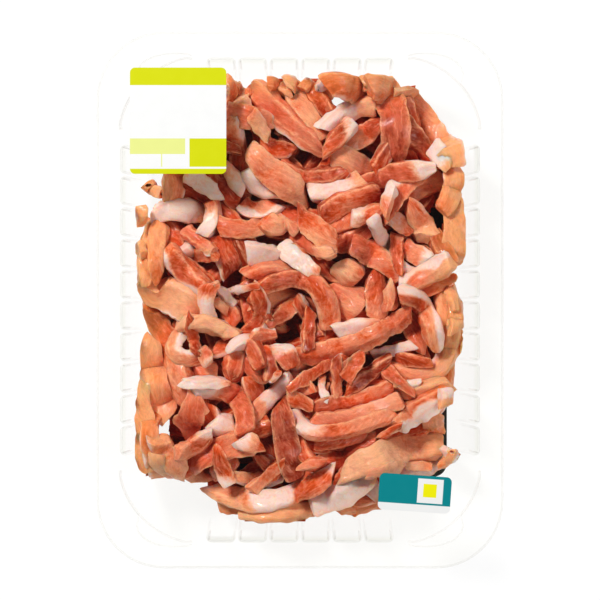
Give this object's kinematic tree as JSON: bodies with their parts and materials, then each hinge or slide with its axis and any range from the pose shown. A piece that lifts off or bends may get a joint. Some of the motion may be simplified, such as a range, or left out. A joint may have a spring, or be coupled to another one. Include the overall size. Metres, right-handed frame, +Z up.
{
  "type": "meat tray pack",
  "caption": "Clear thermoformed tray with ribbed walls, sealed under film, holding a loose heap of raw pork strips on an absorbent pad.",
  "frame": {"origin": "middle of the tray's underside, where it rests", "axes": "+Z up, Y along the tray's long side, X across its short side; the label is at -X +Y"},
  "size_m": [0.144, 0.19, 0.0411],
  "materials": {
    "tray_plastic": "clear thermoformed polyester, smooth and glossy",
    "clear_film": "clear lidding film, glossy",
    "pad_fleece": "black absorbent pad with an embossed dot pattern",
    "pork": "raw pork strips, moist sheen, lean red brown with pinkish white fat",
    "label_print": "satin coated label, pale with yellow green fields",
    "sticker_print": "satin coated sticker, teal with a white foot"
  },
  "bodies": {
    "root": {"tray": "tray_plastic", "lidding_film": "clear_film", "absorbent_pad": "pad_fleece", "pork_strips": "pork", "label": "label_print", "sticker": "sticker_print"}
  },
  "joints": []
}
